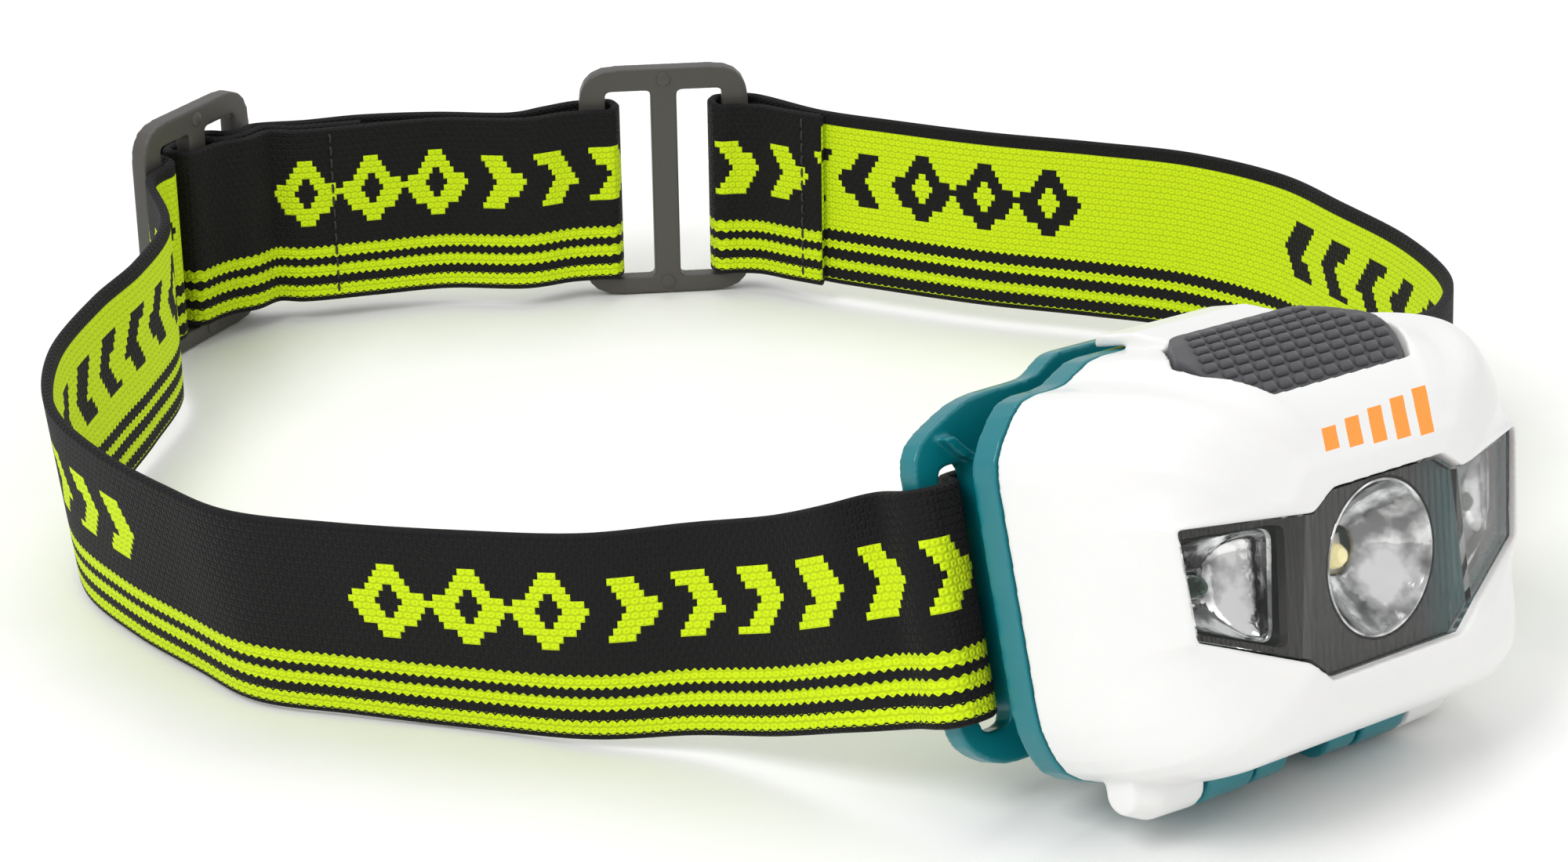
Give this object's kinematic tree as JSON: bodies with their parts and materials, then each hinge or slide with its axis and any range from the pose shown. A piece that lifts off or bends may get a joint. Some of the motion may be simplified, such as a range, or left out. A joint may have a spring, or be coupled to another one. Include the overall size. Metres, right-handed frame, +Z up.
{
  "type": "headlamp",
  "caption": "Battery headlamp with a tilting white case, spot and side lights and a rubber push button, on an adjustable elastic head band with two sliders.",
  "frame": {"origin": "middle of the footprint on the table the headlamp is put down on", "axes": "+Z up, the lamp faces -Y with its beam tipped up, +X is to the right seen from the front, the band loop runs back along +Y"},
  "size_m": [0.1604, 0.2054, 0.0487],
  "materials": {
    "white": "semi-gloss",
    "teal": "satin",
    "clear": "clear polycarbonate",
    "bezel": "ribbed",
    "chrome": "vacuum metallised",
    "phosphor": "silicone dome",
    "ceramic": "plain",
    "rubber": "moulded bumps",
    "board": "solder mask",
    "black_plastic": "moulded",
    "cell": "printed sleeve",
    "spring": "nickel plated",
    "steel": "bright",
    "seal": "matt",
    "wire": "insulation",
    "slider": "moulded",
    "band": "knitted elastic, black and lime"
  },
  "bodies": {
    "band": {"head_band": "band", "left_slider": "slider", "rear_slider": "slider", "bracket": "teal", "hinge_pin": "steel"},
    "cover": {"rear_cover": "teal", "case_seal": "seal"},
    "case": {"front_shell": "white", "lens_cover": "clear", "lens_bezel": "bezel", "spot_reflector": "chrome", "spot_led_base": "ceramic", "spot_led_dome": "phosphor", "side_reflector_left": "chrome", "side_reflector_right": "chrome", "side_led_left": "clear", "side_led_right": "clear", "led_lead_left": "wire", "led_lead_right": "wire", "circuit_board": "board", "board_screw_1": "steel", "board_screw_2": "steel", "board_screw_3": "steel", "board_screw_4": "steel", "switch_body": "black_plastic", "battery_tray": "black_plastic", "battery_1": "cell", "battery_2": "cell", "battery_3": "cell", "contact_plate_1": "spring", "contact_plate_2": "spring", "contact_plate_3": "spring", "contact_spring_1": "spring", "contact_spring_2": "spring", "contact_spring_3": "spring"},
    "button": {"button": "rubber", "switch_cap": "ceramic"}
  },
  "joints": [
    {"name": "lamp_tilt", "type": "hinge", "parent": "band", "child": "cover", "pos_m": [-0.00525, -0.08869, 0.00498], "axis": [0.9968, 0, -0.0802], "range_deg": [0, 50]},
    {"name": "case_open", "type": "hinge", "parent": "cover", "child": "case", "pos_m": [-0.00525, -0.08869, 0.00498], "axis": [0.9968, 0, -0.0802], "range_deg": [0, 60]},
    {"name": "button_press", "type": "slide", "parent": "case", "child": "button", "axis": [-0.0798, 0.0958, -0.9922], "range_m": [0, 0.0007], "stiffness_N_per_m": 600, "springref_m": -0.0005}
  ]
}
